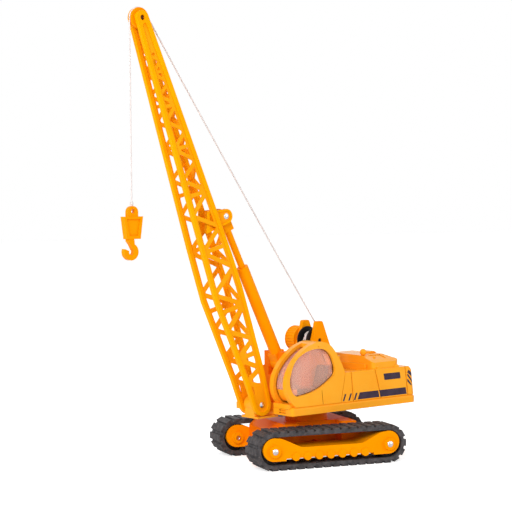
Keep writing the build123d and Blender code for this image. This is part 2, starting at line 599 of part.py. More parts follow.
def boom_half(side):
    """Left or right half of the boom: a lattice side with flanges and half of the lacing."""
    outline = boom_outline()
    rim = outline - offset(outline, -CHORD_W, kind=Kind.INTERSECTION)
    rim += Pos(BOOM_L, 0) * Circle(PIN_R + 1.8)
    flange = outline - offset(outline, -FLANGE_T, kind=Kind.INTERSECTION)
    foot, tip = Rectangle(2 * FOOT_END, 60), Pos(BOOM_L, 0) * Rectangle(2 * TIP_END, 60)
    web = (truss_face() + foot + tip) & outline
    half = prism(rim, -1, 12) & side_wall(0, CHEEK_T)
    half += prism(web, -1, 12) & side_wall(RECESS, CHEEK_T)
    half += prism(flange, 0, 12) & side_wall(0.3, FLANGE_W) & block(FOOT_END, 2 * BOOM_L, -1, 12, -40, 40)
    half += rod_y(CROSS_R, CROSS_S, CROSS_UP, 0, CHEEK_IN_FOOT + 1)
    plates = [xy(points, -40, 40) for points in lacing()]
    inner = flange & Pos(BOOM_L / 2, 0) * Rectangle(BOOM_L * 0.86, 80)
    for plate in plates:
        half += prism(inner, 0, 12) & plate & side_wall(0.5, 20)
    ear_in = EYE_W / 2 + GAP
    ear = Pos(EAR_S, EAR_UP) * Circle(EAR_R)
    ear += make_face(Polyline((EAR_S - 12, 4), (EAR_S + 12, 4), (EAR_S + 4.6, EAR_UP + 2.4),
                              (EAR_S - 4.6, EAR_UP + 2.4), close=True))
    half += prism(ear, ear_in, ear_in + EAR_T)
    half -= prism(offset(ear, -1.3, kind=Kind.INTERSECTION), ear_in + EAR_T - 0.5, ear_in + EAR_T + 0.2)
    half += block(EAR_S - 10, EAR_S + 10, ear_in + 1, 7.0, 8.4, 10.4)
    half -= rod_y(TONGUE_R + GAP, 0, 0, -1, CHEEK_IN_FOOT)
    half -= rod_y(SHEAVE_R + 2 * GAP, BOOM_L, 0, -1, CHEEK_IN_TIP)
    half -= block(BOOM_L, BOOM_L + 9, -1, CHEEK_IN_TIP, -9, 9)
    for x, z in ((0, 0), (EAR_S, EAR_UP), (BOOM_L, 0)):
        half -= rod_y(PIN_R, x, z, -20, 20)
    tip_face = along(HALF, BOOM_L)
    half -= rod_y(TIP_HOLE_R, BOOM_L, 0, tip_face - TIP_HOLE_DEPTH, tip_face + 1)
    return half if side > 0 else mirrored(half)


def boom_pin(x, z, half):
    return rivet(x, z, -half, half, PIN_R, RIVET_HEAD_R)


def tip_sheave():
    half = CHEEK_IN_TIP - GAP
    wheel = rod_y(SHEAVE_R, BOOM_L, 0, -half, half)
    groove = rod_y(SHEAVE_R + 1, BOOM_L, 0, -0.7, 0.7) - rod_y(SHEAVE_GROOVE, BOOM_L, 0, -2, 2)
    return wheel - groove - rod_y(PIN_R + RUN, BOOM_L, 0, -9, 9)


# ---------------------------------------------------------------- strut
STRUT_HALF = BARREL_R + 0.2
BOOM_RISE = radians(BOOM_ANGLE)
EAR_X = FOOT_X + EAR_S * cos(BOOM_RISE) - EAR_UP * sin(BOOM_RISE)
EAR_Z = FOOT_Z + EAR_S * sin(BOOM_RISE) + EAR_UP * cos(BOOM_RISE)
STRUT_ANGLE = degrees(atan2(EAR_Z - STRUT_Z, EAR_X - STRUT_X))
STRUT_L = hypot(EAR_Z - STRUT_Z, EAR_X - STRUT_X)


def strut_barrel():
    """Tube with an eye at its foot."""
    body = rod_x(BARREL_R, 4.0, BARREL_L) + rod_y(4.6, 0, 0, -STRUT_HALF, STRUT_HALF)
    body += block(0, 8, -STRUT_HALF, STRUT_HALF, -BARREL_R, BARREL_R)
    body -= rod_x(ROD_R + RUN, BARREL_L - ROD_INSIDE - 7.5, BARREL_L + 1)
    return body - rod_y(PIN_R + RUN, 0, 0, -20, 20)


def strut_rod():
    """Rod with the eye that the boom's upper pin passes through with room to spare."""
    body = rod_x(ROD_R, BARREL_L - ROD_INSIDE, STRUT_L)
    body += rod_y(EYE_R, STRUT_L, 0, -EYE_W / 2, EYE_W / 2)
    body += block(STRUT_L - 10.5, STRUT_L - 2.5, -EYE_W / 2, EYE_W / 2, -3.2, 3.6)
    return body - rod_y(EYE_HOLE_R, STRUT_L, 0, -20, 20)


# ---------------------------------------------------------------- winch drum and hook


def winch_spool():
    half = CHEEK_MID - WINCH_CHEEK_T / 2 - GAP
    spool = rod_y(SPOOL_R, WINCH_X, WINCH_Z, -half, half)
    inner = half - SPOOL_RIM_T
    spool -= (rod_y(SPOOL_R + 1, WINCH_X, WINCH_Z, -inner, inner)
              - rod_y(SPOOL_CORE_R, WINCH_X, WINCH_Z, -inner, inner))
    return spool - rod_y(AXLE_R, WINCH_X, WINCH_Z, -20, 20)


def wound_string():
    """String wound on the spool, as one sleeve."""
    inner = CHEEK_MID - WINCH_CHEEK_T / 2 - GAP - SPOOL_RIM_T
    sleeve = rod_y(SPOOL_R - 2.2, WINCH_X, WINCH_Z, -inner, inner)
    return sleeve - rod_y(SPOOL_CORE_R, WINCH_X, WINCH_Z, -20, 20)


def winch_axle():
    out = CHEEK_MID + WINCH_CHEEK_T / 2
    return rod_y(AXLE_R, WINCH_X, WINCH_Z, -out - KNOB_W, out - 0.8)


def winch_knob():
    """Ribbed thumb knob on the axle's right end."""
    y1 = -(CHEEK_MID + WINCH_CHEEK_T / 2 + GAP)
    knob = rod_y(KNOB_R, WINCH_X, WINCH_Z, y1 - KNOB_W, y1)
    for i in range(KNOB_RIBS):
        a = 2 * pi * i / KNOB_RIBS
        x, z = WINCH_X + (KNOB_R + 0.2) * cos(a), WINCH_Z + (KNOB_R + 0.2) * sin(a)
        knob -= rod_y(0.7, x, z, y1 - KNOB_W + 1.0, y1 - 1.0)
    return knob - rod_y(AXLE_R, WINCH_X, WINCH_Z, -40, 0)


TIP_X = FOOT_X + BOOM_L * cos(BOOM_RISE)
TIP_Z = FOOT_Z + BOOM_L * sin(BOOM_RISE)
FALL_X = TIP_X + SHEAVE_GROOVE + STRING_R + 0.1
LUG_TOP = TIP_Z - HOOK_DROP


def hook_string():
    """Straight fall of string from the sheave to the hook's lug."""
    low = LUG_TOP - 3
    return Pos(FALL_X, 0, (TIP_Z + low) / 2) * Cylinder(STRING_R, TIP_Z - low)


def hoist_string():
    """Taut string from the back of the sheave down to the back of the drum."""
    run = hypot(TIP_X - WINCH_X, TIP_Z - WINCH_Z)
    back = Vector(WINCH_Z - TIP_Z, 0, TIP_X - WINCH_X) / run
    top = Vector(TIP_X, 0, TIP_Z) + back * (SHEAVE_GROOVE + STRING_R + 0.1)
    foot = Vector(WINCH_X, 2.0, WINCH_Z) + back * (SPOOL_R - 2.2 + STRING_R + GAP)
    length = (foot - top).length
    return Plane(origin=top, z_dir=foot - top) * Pos(0, 0, length / 2) * Cylinder(STRING_R, length)


def hook():
    """One moulding: lug, tapering block with a recess on each side, and the hook below it."""
    z0, z1, lug_z = LUG_TOP - 19.8, LUG_TOP - 6.3, LUG_TOP - 3.7
    body = xz([(-4.9, z0), (4.9, z0), (6.8, z1), (-6.8, z1)], -2.1, 2.1)
    recess = xz([(-3.1, z0 + 1.9), (3.1, z0 + 1.9), (5.0, z1 - 1.5), (-5.0, z1 - 1.5)], 1.0, 3.0)
    body -= both_sides(recess)
    body += rod_y(3.7, 0, lug_z, -1.5, 1.5) + block(-3.7, 3.7, -1.5, 1.5, z1 - 0.5, lug_z)
    body -= rod_y(1.4, 0, lug_z + 0.6, -5, 5)
    bowl_x, bowl_z = HOOK_SHIFT, LUG_TOP - 27.5
    bowl = rod_y(HOOK_OUT_R, bowl_x, bowl_z, -1.7, 1.7) - rod_y(HOOK_IN_R, bowl_x, bowl_z, -2, 2)
    bowl -= xz([(bowl_x, bowl_z), (bowl_x + 9, bowl_z + 3.6), (bowl_x + 9, bowl_z + 9),
                (bowl_x - 1.2, bowl_z + 9), (bowl_x - 1.2, bowl_z + 1.5)], -3, 3)
    neck = [(bowl_x - 2.1, z0 + 0.2), (bowl_x - 2.4, bowl_z + 4.6), (bowl_x - 4.9, bowl_z + 1.6),
            (bowl_x - 1.4, bowl_z + 0.9), (bowl_x + 0.5, bowl_z + 4.4), (bowl_x + 2.1, z0 - 1.4),
            (bowl_x + 2.1, z0 + 0.2)]
    body += bowl + xz(neck, -1.7, 1.7)
    body -= Pos(0, 0, LUG_TOP) * Cylinder(STRING_R, 6)
    return Pos(FALL_X, 0, 0) * body


# ---------------------------------------------------------------- assembly


def slewed(shape):
    return Rot(0, 0, SLEW_AT_REST) * shape


def on_boom(shape):
    return slewed(Pos(FOOT_X, 0, FOOT_Z) * Rot(0, -BOOM_ANGLE, 0) * shape)


def on_strut(shape):
    return slewed(Pos(STRUT_X, 0, STRUT_Z) * Rot(0, -STRUT_ANGLE, 0) * shape)


def all_nodes():
    nodes = {"carbody": carbody()}
    for side, hand in ((1, "left"), (-1, "right")):
        nodes[f"track_frame_{hand}"] = track_frame(side)
        nodes[f"track_belt_{hand}"] = track_belt(side)
        for x, end in ((WHEEL_X, "front"), (-WHEEL_X, "rear")):
            nodes[f"track_wheel_{end}_{hand}"] = track_wheel(side, x)
            nodes[f"axle_rivet_{end}_{hand}"] = axle_rivet(side, x)
    deck = {
        "chassis": chassis(), "slew_screw": slew_screw(), "strut_pedestal": strut_pedestal(),
        "cab_shell": cab_shell(), "cab_glazing": cab_glazing(), "cab_seat": cab_seat(),
        "cab_console": cab_console(), "engine_housing": engine_housing(),
        "right_side_box": right_side_box(), "engine_hood": engine_hood(),
        "hood_spine": hood_spine(), "hood_knob": hood_knob(), "hood_scoop": hood_scoop(),
        "winch_frame": winch_frame(),
        "strut_foot_pin": rivet(STRUT_X, STRUT_Z, 1 - FOOT_SLOT, FOOT_SLOT - 1, PIN_R),
        "winch_spool": winch_spool(), "wound_string": wound_string(),
        "winch_axle": winch_axle(), "winch_knob": winch_knob(),
        "hook_string": hook_string(), "hoist_string": hoist_string(), "hook": hook(),
    }
    nodes.update({name: slewed(shape) for name, shape in deck.items()})
    pin_half = along(HALF, BOOM_L) - TIP_HOLE_DEPTH
    boom = {
        "boom_half_left": boom_half(1), "boom_half_right": boom_half(-1),
        "boom_foot_pin": boom_pin(0, 0, along(HALF, 0) - RECESS + 0.02),
        "boom_strut_pin": boom_pin(EAR_S, EAR_UP, EYE_W / 2 + GAP + EAR_T - 0.5),
        "boom_tip_pin": rod_y(PIN_R, BOOM_L, 0, -pin_half, pin_half),
        "tip_sheave": tip_sheave(),
    }
    nodes.update({name: on_boom(shape) for name, shape in boom.items()})
    strut = {"strut_barrel": strut_barrel(), "strut_rod": strut_rod()}
    nodes.update({name: on_strut(shape) for name, shape in strut.items()})
    return nodes


NODES = all_nodes()
os.makedirs("parts", exist_ok=True)
for name, shape in NODES.items():
    export_step(shape, f"parts/{name}.step")
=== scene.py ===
import json
import random
from math import atan2, cos, hypot, pi, radians, sin, tan

import bpy
from mathutils import Matrix, Vector
from mathutils.geometry import tessellate_polygon


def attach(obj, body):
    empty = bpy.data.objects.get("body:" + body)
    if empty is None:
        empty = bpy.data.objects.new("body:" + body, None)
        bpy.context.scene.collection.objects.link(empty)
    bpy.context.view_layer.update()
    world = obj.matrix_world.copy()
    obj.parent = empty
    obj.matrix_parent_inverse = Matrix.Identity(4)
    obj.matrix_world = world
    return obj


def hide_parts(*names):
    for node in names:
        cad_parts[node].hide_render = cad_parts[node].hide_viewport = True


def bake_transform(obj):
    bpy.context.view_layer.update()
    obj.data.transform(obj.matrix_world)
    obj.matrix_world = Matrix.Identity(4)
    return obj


# Dressed model of the toy crawler crane: materials on the CAD nodes, decals, boom, string, studio.
# Lengths are millimetres in the tables and helpers, and metres once they are in Blender.
MM = 0.001

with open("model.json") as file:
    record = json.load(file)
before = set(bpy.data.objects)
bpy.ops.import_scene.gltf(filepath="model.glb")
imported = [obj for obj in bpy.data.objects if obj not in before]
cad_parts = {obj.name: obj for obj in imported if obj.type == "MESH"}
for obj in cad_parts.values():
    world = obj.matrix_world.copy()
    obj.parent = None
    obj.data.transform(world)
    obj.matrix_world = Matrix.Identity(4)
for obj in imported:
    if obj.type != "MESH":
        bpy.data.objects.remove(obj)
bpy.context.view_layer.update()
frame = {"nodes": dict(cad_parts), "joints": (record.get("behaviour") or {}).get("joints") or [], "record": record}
nodes = frame["nodes"]
joints = {joint["name"]: joint for joint in frame["joints"]}

# ---------------------------------------------------------------- places read from the frame
luff_axis = joints["luff"]["axis"]
SLEW = atan2(luff_axis[0], -luff_axis[1])      # heading of the superstructure at rest
DECK = Matrix.Rotation(SLEW, 4, "Z")


def deck_point(joint):
    """A joint's place in the deck frame, in millimetres."""
    return DECK.inverted() @ Vector(joints[joint]["pos_m"]) / MM


FOOT = deck_point("luff")
WINCH = deck_point("winch_turn")
SHEAVE = deck_point("sheave_turn")

# ---------------------------------------------------------------- dimensions shared with the part
DECK_TOP = 38.2
WALL_W = 28.6              # half width of the bodywork's side walls at the deck
LEAN = radians(5.1)        # inward lean of the walls
SHEAVE_LINE_R = 6.3        # radius that the string runs at on the sheave
SPOOL_CORE_R = 4.2
STRING_R = 0.46
LUG_DROP = 112.5           # from the sheave's axis down to the top of the hook's lug
SHELL_T = 2.2              # thickness of the cab's shell

# ---------------------------------------------------------------- helpers


def linear(red, green, blue):
    """Linear colour of an sRGB one given as 0 to 255."""
    def channel(c):
        """One channel of it."""
        c /= 255
        return c / 12.92 if c <= 0.04045 else ((c + 0.055) / 1.055) ** 2.4
    return (channel(red), channel(green), channel(blue), 1.0)


def add_mesh(name, verts, faces, matrix=Matrix.Identity(4)):
    """Mesh object from vertices in millimetres, placed by a matrix about the origin."""
    mesh = bpy.data.meshes.new(name)
    mesh.from_pydata([matrix @ (Vector(v) * MM) for v in verts], [], faces)
    mesh.validate()
    mesh.update()
    obj = bpy.data.objects.new(name, mesh)
    bpy.context.scene.collection.objects.link(obj)
    return obj


def finish_piece(obj, body, material, smooth=True):
    """Gives a piece its material, shading and body."""
    obj.data.materials.append(material)
    for polygon in obj.data.polygons:
        polygon.use_smooth = smooth
    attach(obj, body)


def smooth_line(points, step):
    """Points about `step` apart on a Catmull-Rom curve through the given ones."""
    ends = [2 * points[0] - points[1], *points, 2 * points[-1] - points[-2]]
    line = []
    for a, b, c, d in zip(ends, ends[1:], ends[2:], ends[3:]):
        count = max(1, round((c - b).length / step))
        for i in range(count):
            t = i / count
            line.append(0.5 * (2 * b + (c - a) * t + (2 * a - 5 * b + 4 * c - d) * t**2
                               + (3 * b - a - 3 * c + d) * t**3))
    return line + [points[-1]]


def tube(line, radius, sides=8, taper=None):
    """Vertices and faces of a tube along a line, with a frame carried from point to point."""
    verts, faces = [], []
    side = Vector((0, 1, 0))
    for i, point in enumerate(line):
        ahead, behind = line[min(i + 1, len(line) - 1)], line[max(i - 1, 0)]
        along = (ahead - behind).normalized()
        side = (side - along * side.dot(along)).normalized()
        up = along.cross(side)
        r = radius * (taper(i / (len(line) - 1)) if taper else 1)
        for k in range(sides):
            a = 2 * pi * k / sides
            verts.append(point + (side * cos(a) + up * sin(a)) * r)
    for i in range(len(line) - 1):
        for k in range(sides):
            a, b = i * sides + k, i * sides + (k + 1) % sides
            faces.append((a, b, b + sides, a + sides))
    faces.append(tuple(range(sides)))
    faces.append(tuple(reversed(range(len(verts) - sides, len(verts)))))
    return verts, faces


def joined(parts):
    """One list of vertices and faces from several."""
    verts, faces = [], []
    for part_verts, part_faces in parts:
        faces += [tuple(i + len(verts) for i in face) for face in part_faces]
        verts += part_verts
    return verts, faces


def clipped(outline, point, normal):
    """Part of a convex outline on the normal's side of a line."""
    kept = []
    for p, q in zip(outline, outline[1:] + outline[:1]):
        dp = (p[0] - point[0]) * normal[0] + (p[1] - point[1]) * normal[1]
        dq = (q[0] - point[0]) * normal[0] + (q[1] - point[1]) * normal[1]
        if dp >= 0:
            kept.append(p)
        if dp * dq < 0:
            t = dp / (dp - dq)
            kept.append((p[0] + (q[0] - p[0]) * t, p[1] + (q[1] - p[1]) * t))
    return kept


# ---------------------------------------------------------------- materials


def new_material(name, gloss=0.12):
    """Node material, with its tree, its Principled shader and the object coordinates."""
    material = bpy.data.materials.new(name)
    material.use_nodes = True
    tree = material.node_tree
    shader = tree.nodes["Principled BSDF"]
    shader.inputs["Specular IOR Level"].default_value = gloss
    where = tree.nodes.new("ShaderNodeTexCoord").outputs["Object"]
    return material, tree, shader, where


def noise(tree, where, scale, detail=2.0):
    """Noise from 0 to 1, its scale in cells a metre."""
    texture = tree.nodes.new("ShaderNodeTexNoise")
    texture.inputs["Scale"].default_value = scale
    texture.inputs["Detail"].default_value = detail
    tree.links.new(where, texture.inputs["Vector"])
    return texture.outputs["Fac"]


def ramp(tree, value, low, high, start=0.35, end=0.65):
    """Colour ramp between two colours."""
    node = tree.nodes.new("ShaderNodeValToRGB")
    for element, place, colour in zip(node.color_ramp.elements, (start, end), (low, high)):
        element.position, element.color = place, colour
    tree.links.new(value, node.inputs["Fac"])
    return node.outputs["Color"]


def bump(tree, shader, height, strength, distance):
    """Relief from a height, its distance in metres."""
    node = tree.nodes.new("ShaderNodeBump")
    node.inputs["Strength"].default_value = strength
    node.inputs["Distance"].default_value = distance
    tree.links.new(height, node.inputs["Height"])
    tree.links.new(node.outputs["Normal"], shader.inputs["Normal"])


def roughness_between(tree, shader, value, low, high):
    """Roughness that follows a value from 0 to 1."""
    node = tree.nodes.new("ShaderNodeMapRange")
    node.inputs["To Min"].default_value, node.inputs["To Max"].default_value = low, high
    tree.links.new(value, node.inputs["Value"])
    tree.links.new(node.outputs["Result"], shader.inputs["Roughness"])


def ramp_between(tree, value, low, colour, start, end):
    """Mix from a constant colour to another node's colour as a value grows."""
    share = tree.nodes.new("ShaderNodeMapRange")
    share.inputs["From Min"].default_value, share.inputs["From Max"].default_value = start, end
    tree.links.new(value, share.inputs["Value"])
    mix = tree.nodes.new("ShaderNodeMix")
    mix.data_type = "RGBA"
    mix.inputs["A"].default_value = low
    tree.links.new(share.outputs["Result"], mix.inputs["Factor"])
    tree.links.new(colour, mix.inputs["B"])
    return mix.outputs["Result"]


SEAM_SHADE_REACH = 0.7           # painted shade: a groove is darker where its walls are nearer than this
SEAM_SHADE_SHARES = (0.35, 0.7)   # share of open surroundings: full painted shade below, plain paint above


def painted_shade_in_seams(tree, colour, shade_colour):
    """Paints shade into narrow grooves, where moulded panels meet: the colour turns darker by ambient occlusion.
    """
    shade = tree.nodes.new("ShaderNodeAmbientOcclusion")
    shade.only_local = True
    shade.inputs["Distance"].default_value = SEAM_SHADE_REACH * MM
    return ramp_between(tree, shade.outputs["AO"], shade_colour, colour, *SEAM_SHADE_SHARES)


def mottled(name, low, high, scale, detail=2.0, gloss=0.12):
    """Material whose colour wanders between two sRGB ones."""
    material, tree, shader, where = new_material(name, gloss)
    colour = ramp(tree, noise(tree, where, scale, detail), linear(*low), linear(*high))
    tree.links.new(colour, shader.inputs["Base Color"])
    return material, tree, shader, where


def paint_material():
    """Glossy yellow-orange paint on die-cast metal, with a faint orange peel and painted shade in its grooves."""
    material, tree, shader, where = new_material("body_paint", 0.25)
    colour = ramp(tree, noise(tree, where, 60), linear(255, 166, 26), linear(255, 172, 34))
    # Painted shade: the paint turns dark brown-orange in narrow grooves, from ambient occlusion.
    colour = painted_shade_in_seams(tree, colour, linear(120, 58, 12))
    tree.links.new(colour, shader.inputs["Base Color"])
    roughness_between(tree, shader, noise(tree, where, 220, 4), 0.24, 0.36)
    shader.inputs["Specular Tint"].default_value = linear(255, 190, 80)
    shader.inputs["Coat Weight"].default_value = 0.2
    shader.inputs["Coat Roughness"].default_value = 0.06
    bump(tree, shader, noise(tree, where, 1500, 3), 0.10, 0.00006)
    return material


def orange_material(name="orange_plastic", low=(255, 150, 0), high=(255, 158, 2)):
    """Moulded orange plastic with slow flow marks and a fine tooth."""
    material, tree, shader, where = mottled(name, low, high, 45, gloss=0.07)
    roughness_between(tree, shader, noise(tree, where, 260, 4), 0.28, 0.42)
    shader.inputs["Specular Tint"].default_value = linear(255, 180, 60)
    bump(tree, shader, noise(tree, where, 2400, 3), 0.08, 0.00005)
    return material


def rubber_material():
    """Dark brownish-grey rubber, mottled with dust."""
    material, tree, shader, where = mottled("belt_rubber", (50, 47, 49), (80, 76, 77), 350, 5, 0.3)
    roughness_between(tree, shader, noise(tree, where, 500, 4), 0.55, 0.75)
    bump(tree, shader, noise(tree, where, 2600, 5), 0.3, 0.00012)
    return material


def moulded_material(name, low, high, rough):
    """Plain moulded plastic, its roughness given as a lowest and a highest value."""
    material, tree, shader, where = mottled(name, low, high, 120, 3)
    roughness_between(tree, shader, noise(tree, where, 300, 4), *rough)
    bump(tree, shader, noise(tree, where, 2200, 3), 0.15, 0.00006)
    return material


def chrome_material():
    """Plated rivets with fine scratches."""
    name, low, high = "rivet_chrome", (205, 205, 208), (240, 240, 242)
    material, tree, shader, where = mottled(name, low, high, 900, 4)
    shader.inputs["Metallic"].default_value = 1.0
    roughness_between(tree, shader, noise(tree, where, 1400, 5), 0.12, 0.3)
    bump(tree, shader, noise(tree, where, 3000, 4), 0.12, 0.00004)
    return material


def clear_material():
    """Thin clear moulding with a pink cast, a little milky."""
    name, low, high = "clear_plastic", (255, 212, 192), (255, 226, 212)
    material, tree, shader, where = mottled(name, low, high, 30, gloss=0.5)
    shader.inputs["Transmission Weight"].default_value = 0.74
    shader.inputs["IOR"].default_value = 1.12
    shader.inputs["Roughness"].default_value = 0.04
    shader.inputs["Coat Weight"].default_value = 0.5
    shader.inputs["Coat Roughness"].default_value = 0.03
    bump(tree, shader, noise(tree, where, 90, 2), 0.05, 0.0001)
    return material


def string_material():
    """Off-white twisted string."""
    material, tree, shader, where = new_material("string")
    twist = tree.nodes.new("ShaderNodeTexWave")
    twist.bands_direction = "DIAGONAL"
    twist.inputs["Scale"].default_value = 2200
    twist.inputs["Distortion"].default_value = 1.5
    tree.links.new(where, twist.inputs["Vector"])
    low, high = linear(226, 212, 208), linear(246, 238, 235)
    colour = ramp(tree, twist.outputs["Fac"], low, high, 0.2, 0.8)
    tree.links.new(colour, shader.inputs["Base Color"])
    shader.inputs["Roughness"].default_value = 0.9
    bump(tree, shader, twist.outputs["Fac"], 0.6, 0.00015)
    return material


def decal_material(name, low, high):
    """Printed film."""
    material, tree, shader, where = mottled(name, low, high, 200, 3)
    roughness_between(tree, shader, noise(tree, where, 400, 3), 0.3, 0.42)
    return material


PAINT = paint_material()
ORANGE = orange_material()
RIM_ORANGE = orange_material("boom_rim_orange", (255, 166, 0), (255, 173, 2))
# Painted light: the web's orange is paler and lighter, lifted to offset the shade that the rims cast on the
# recessed web.
LIT_WEB_ORANGE = orange_material("boom_web_orange_lit", (255, 160, 10), (255, 168, 18))
# Painted shade: a darker copy of the orange for parts that sit in shade under the deck.
SHADED_ORANGE = orange_material("shaded_orange", (246, 116, 2), (250, 124, 6))
RUBBER = rubber_material()
BLACK = moulded_material("black_plastic", (20, 20, 22), (34, 34, 36), (0.3, 0.45))
INTERIOR = moulded_material("interior_plastic", (92, 90, 104), (112, 108, 122), (0.4, 0.55))
CHROME = chrome_material()
CLEAR = clear_material()
STRING = string_material()
NAVY = decal_material("stripe_navy", (54, 42, 58), (66, 52, 68))
# Painted shade: dark brown stands in for the shade along the side window's edge and in the hole at the boom's tip.
SHADE_BROWN = moulded_material("painted_shade_brown", (96, 52, 22), (112, 62, 28), (0.4, 0.55))
RED = decal_material("lamp_red", (236, 84, 30), (246, 100, 44))

# Materials of the CAD nodes by their slot in the record, and the nodes that look different.
BY_SLOT = {
    "body_paint": PAINT, "orange_plastic": ORANGE, "belt_rubber": RUBBER, "black_plastic": BLACK,
    "interior_plastic": INTERIOR, "rivet_chrome": CHROME, "clear_plastic": CLEAR, "string": STRING,
}
BY_NODE = {
    # Painted shade: boom_tip_pin is dark brown, for the shade in the hole at the boom's tip.
    "hood_spine": PAINT, "hood_knob": PAINT, "hood_scoop": PAINT, "boom_tip_pin": SHADE_BROWN,
    # Painted shade: the carbody and the strut's pedestal take the darker orange copy.
    "carbody": SHADED_ORANGE, "strut_pedestal": SHADED_ORANGE,
}
# Nodes that pieces of this script stand for, and the string, keep their edges.
SHARP = ("hook_string", "hoist_string", "wound_string", "boom_half_left", "boom_half_right")
EDGE_ANGLE = radians(38)   # edges that turn more than this are rounded
EDGE_W = 0.28              # width of that rounding, and where it is wider
EDGE_WIDER = {
    "cab_shell": 0.75, "engine_hood": 1.6, "engine_housing": 0.5, "hook": 0.4, "chassis": 0.45,
    "track_frame_left": 0.5, "track_frame_right": 0.5, "winch_frame": 0.4, "hood_spine": 0.6,
}
WELD_GAP = 0.002


def soften(node):
    """Rounds a node's sharp edges and evens its shading."""
    weld = node.modifiers.new("weld", "WELD")
    weld.merge_threshold = WELD_GAP * MM
    edges = node.modifiers.new("edges", "BEVEL")
    edges.limit_method, edges.angle_limit = "ANGLE", EDGE_ANGLE
    edges.width, edges.segments = EDGE_WIDER.get(node.name, EDGE_W) * MM, 2
    node.modifiers.new("shading", "WEIGHTED_NORMAL").keep_sharp = True


def dress_cad_nodes():
    """Gives each CAD node its material and rounded edges."""
    for row in frame["record"]["subparts"]:
        mesh = nodes[row["node"]].data
        mesh.materials.clear()
        mesh.materials.append(BY_NODE.get(row["node"]) or BY_SLOT[row["material_slot"]])
        if row["node"] not in SHARP:
            soften(nodes[row["node"]])


dress_cad_nodes()

# ---------------------------------------------------------------- decals
# The side walls' rounded rear corners: where they start, and one radius for all heights. The
# moulding's own radius shrinks upwards, so films there lie within about 0.1 mm of its surface.
CORNER_X, CORNER_ROUND = -67.8, 3.6
SLICES = [-90.0, -70.8, -70.2, -69.5, -68.7, CORNER_X, 90.0]     # a film bends at these places
FILM_OUT, FILM_IN = 0.06, 0.02     # how far a film stands out of the wall, and reaches into it


def wall_y(x, z, lift):
    """Half width of a side wall, round its rear corner too."""
    past = min(max(CORNER_X - x, 0.0), CORNER_ROUND)
    inset = CORNER_ROUND - (CORNER_ROUND**2 - past**2)**0.5
    return WALL_W - (z - DECK_TOP) * tan(LEAN) - inset + lift


def film(name, outline, side, material=NAVY):
    """Printed patch on a side wall: its convex outline is a list of (x, z) in the deck frame."""
    parts = []
    for x0, x1 in zip(SLICES, SLICES[1:]):
        strip = clipped(clipped(outline, (x0, 0), (1, 0)), (x1, 0), (-1, 0))
        count = len(strip)
        if count < 3:
            continue
        verts = [Vector((x, side * wall_y(x, z, lift), z))
                 for lift in (FILM_OUT, -FILM_IN) for x, z in strip]
        ring = [(i, (i + 1) % count, (i + 1) % count + count, i + count) for i in range(count)]
        caps = [tuple(range(count)), tuple(reversed(range(count, 2 * count)))]
        parts.append((verts, caps + ring))
    piece = add_mesh(name, *joined(parts), DECK)
    finish_piece(piece, "superstructure", material, smooth=False)


# Outlines on a wall in (x, z), the same on both sides.
STRIPE_LOW, STRIPE_HIGH = 38.9, 43.3
UPPER_LOW, UPPER_HIGH = 49.5, 53.7
STRIPES = {
    "stripe_front": [(-19.6, STRIPE_LOW), (-21.9, STRIPE_HIGH), (-38.2, STRIPE_HIGH),
                     (-38.9, STRIPE_LOW)],
    "stripe_rear": [(-39.9, STRIPE_LOW), (-39.0, STRIPE_HIGH), (-62.9, STRIPE_HIGH),
                    (-63.6, STRIPE_LOW)],
    "stripe_upper": [(-44.4, UPPER_LOW), (-43.9, UPPER_HIGH), (-58.6, UPPER_HIGH),
                     (-59.0, UPPER_LOW)],
}
BARS = [(-6.7, 1.3), (-11.5, 1.3), (-16.3, 1.4)]      # low front corner and width of short bars
SLANT = 2.2                # lean of the short bars over their height
# Slanting marks round the rear corners, and the lamp patch behind them, which lies just
# under the surface.
CHEVRONS = [
    [(-65.3, 52.9), (-66.6, 54.6), (-69.4, 52.4), (-69.6, 50.0), (-68.4, 50.6)],
    [(-64.9, 51.2), (-65.9, 51.9), (-69.7, 47.2), (-69.8, 45.2)],
    [(-64.9, 48.3), (-65.6, 48.6), (-69.0, 44.3), (-67.9, 44.2), (-65.0, 46.9)],
]
TAIL_PATCH = [(-70.4, 45.2), (-70.3, 48.6), (-71.0, 48.6), (-71.3, 45.2)]


def side_stripes():
    """Stripes, bars, corner marks and lamp on both walls."""
    for side, hand in ((1, "left"), (-1, "right")):
        for name, outline in STRIPES.items():
            film(f"{name}_{hand}", outline, side)
        for i, (x, width) in enumerate(BARS):
            outline = [(x, STRIPE_LOW), (x - SLANT, STRIPE_HIGH)]
            outline += [(x - SLANT - width, STRIPE_HIGH), (x - width, STRIPE_LOW)]
            film(f"stripe_bar_{i + 1}_{hand}", outline, side)
        for i, outline in enumerate(CHEVRONS):
            film(f"corner_mark_{i + 1}_{hand}", outline, side)
        film(f"tail_patch_{hand}", TAIL_PATCH, side, RED)


side_stripes()

# ---------------------------------------------------------------- boom
# The boom lies along +X from its foot pin (s), with its rear upwards (u).
# Chords' distance from its axis, its half width and its bars' width, by share of its length.
FRONT = [(0.0, 6.8), (0.078, 7.4), (0.294, 11.6), (0.431, 10.4), (1.0, 4.1)]
REAR = [(0.0, 7.3), (0.078, 8.9), (0.305, 11.3), (0.391, 10.8), (1.0, 3.6)]
HALF = [(-0.08, 8.1), (0.39, 8.3), (1.03, 4.9)]
BAR_W = [(0.0, 3.3), (1.0, 1.8)]
# Where the zigzag bars meet the rear and the front chord in turn, as shares of the length.
WEB = [0.035, 0.072, 0.088, 0.136, 0.166, 0.214, 0.256, 0.312, 0.355, 0.421, 0.463, 0.514,
       0.556, 0.604, 0.636, 0.681, 0.713, 0.750, 0.781, 0.813, 0.835, 0.869, 0.890, 0.913]
